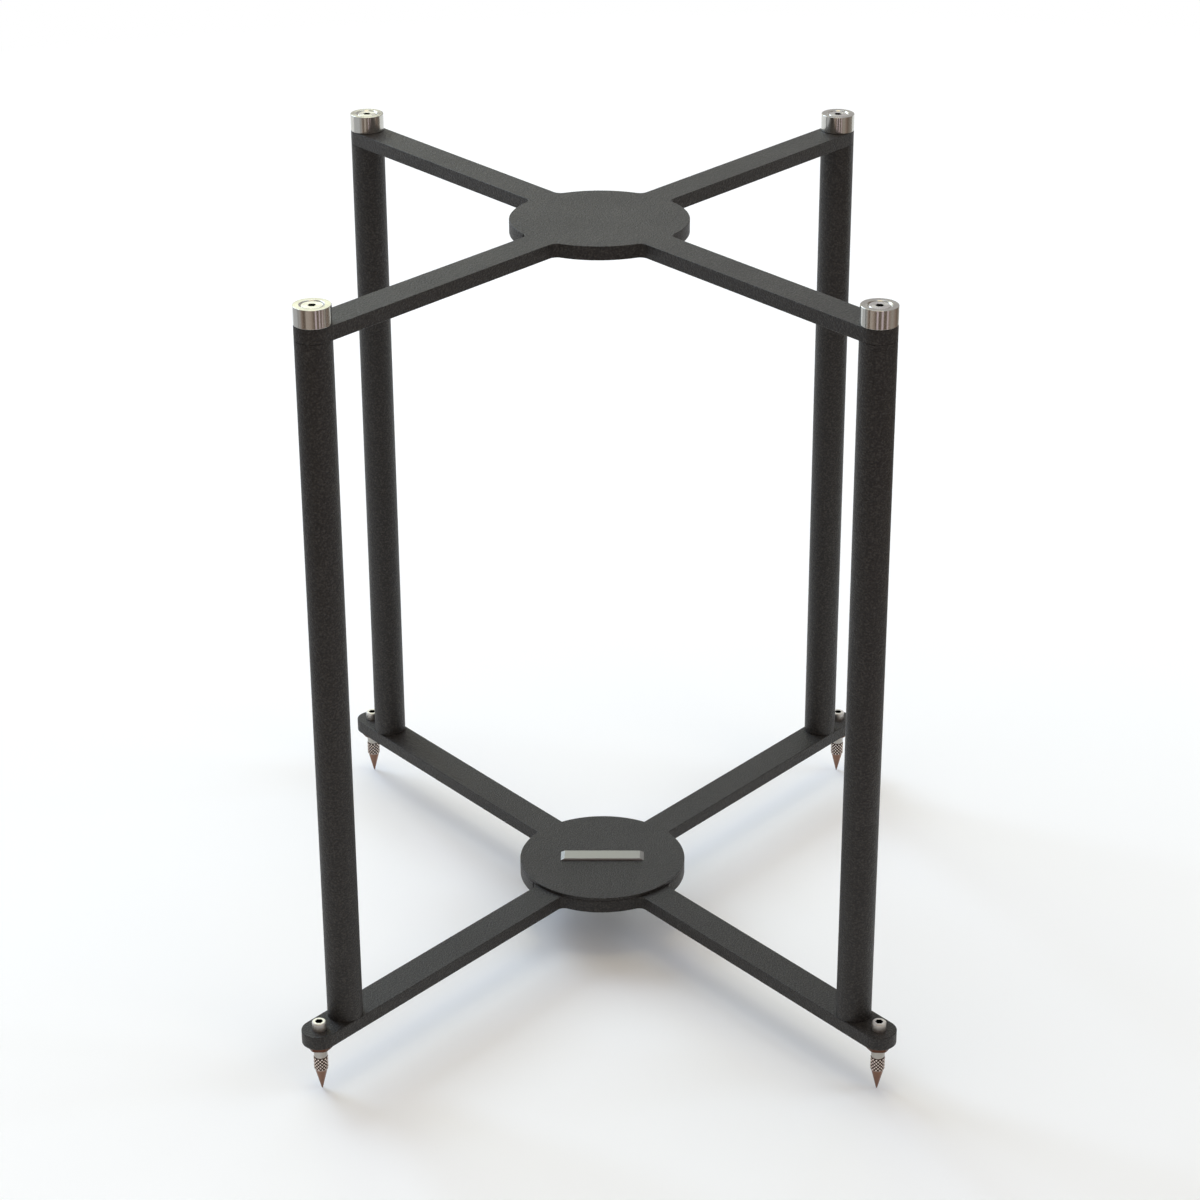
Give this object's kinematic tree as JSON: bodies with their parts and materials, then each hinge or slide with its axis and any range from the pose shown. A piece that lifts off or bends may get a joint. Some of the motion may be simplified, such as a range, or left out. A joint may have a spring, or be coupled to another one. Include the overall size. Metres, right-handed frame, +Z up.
{
  "type": "speaker stand",
  "caption": "Open loudspeaker stand: upper and lower cross plates with round hubs, joined by round columns, with metal support pucks on top and adjustable floor spikes below.",
  "frame": {"origin": "on the floor at the level of the spike points, midway between the four columns", "axes": "+Z up; +X to the stand's right and -Y out of its front, as seen by someone facing the name plate"},
  "size_m": [0.4154, 0.495, 0.5756],
  "materials": {
    "powder_coat": "fine-textured black powder coat",
    "turned_steel": "turned and polished",
    "screw_steel": "bright stainless",
    "spike_steel": "bright turned, diamond-knurled grip",
    "plain_steel": "plain machined",
    "badge_metal": "satin, bare"
  },
  "bodies": {
    "stand": {"bottom_plate": "powder_coat", "top_plate": "powder_coat", "hub_disc": "powder_coat", "name_plate": "badge_metal", "column_front_left": "powder_coat", "column_front_right": "powder_coat", "column_rear_right": "powder_coat", "column_rear_left": "powder_coat", "column_bottom_plug_front_left": "plain_steel", "column_bottom_plug_front_right": "plain_steel", "column_bottom_plug_rear_right": "plain_steel", "column_bottom_plug_rear_left": "plain_steel", "column_top_plug_front_left": "plain_steel", "column_top_plug_front_right": "plain_steel", "column_top_plug_rear_right": "plain_steel", "column_top_plug_rear_left": "plain_steel", "support_puck_front_left": "turned_steel", "support_puck_front_right": "turned_steel", "support_puck_rear_right": "turned_steel", "support_puck_rear_left": "turned_steel", "puck_screw_front_left": "screw_steel", "puck_screw_front_right": "screw_steel", "puck_screw_rear_right": "screw_steel", "puck_screw_rear_left": "screw_steel", "column_bolt_front_left": "screw_steel", "column_bolt_front_right": "screw_steel", "column_bolt_rear_right": "screw_steel", "column_bolt_rear_left": "screw_steel"},
    "spike_front_left": {"spike_front_left": "spike_steel"},
    "spike_front_right": {"spike_front_right": "spike_steel"},
    "spike_rear_right": {"spike_rear_right": "spike_steel"},
    "spike_rear_left": {"spike_rear_left": "spike_steel"},
    "lock_nut_front_left": {"lock_nut_front_left": "spike_steel"},
    "lock_nut_front_right": {"lock_nut_front_right": "spike_steel"},
    "lock_nut_rear_right": {"lock_nut_rear_right": "spike_steel"},
    "lock_nut_rear_left": {"lock_nut_rear_left": "spike_steel"}
  },
  "joints": [
    {"name": "front_left_spike_height", "type": "slide", "parent": "stand", "child": "spike_front_left", "axis": [0, 0, -1], "range_m": [-0.007, 0.006]},
    {"name": "front_right_spike_height", "type": "slide", "parent": "stand", "child": "spike_front_right", "axis": [0, 0, -1], "range_m": [-0.007, 0.006]},
    {"name": "rear_right_spike_height", "type": "slide", "parent": "stand", "child": "spike_rear_right", "axis": [0, 0, -1], "range_m": [-0.007, 0.006]},
    {"name": "rear_left_spike_height", "type": "slide", "parent": "stand", "child": "spike_rear_left", "axis": [0, 0, -1], "range_m": [-0.007, 0.006]},
    {"name": "front_left_lock_nut_turn", "type": "hinge", "parent": "stand", "child": "lock_nut_front_left", "pos_m": [-0.19517, -0.23502, 0.0366], "axis": [0, 0, -1], "range_deg": [0, 360]},
    {"name": "front_right_lock_nut_turn", "type": "hinge", "parent": "stand", "child": "lock_nut_front_right", "pos_m": [0.19517, -0.23502, 0.0366], "axis": [0, 0, -1], "range_deg": [0, 360]},
    {"name": "rear_right_lock_nut_turn", "type": "hinge", "parent": "stand", "child": "lock_nut_rear_right", "pos_m": [0.19517, 0.23502, 0.0366], "axis": [0, 0, -1], "range_deg": [0, 360]},
    {"name": "rear_left_lock_nut_turn", "type": "hinge", "parent": "stand", "child": "lock_nut_rear_left", "pos_m": [-0.19517, 0.23502, 0.0366], "axis": [0, 0, -1], "range_deg": [0, 360]}
  ]
}
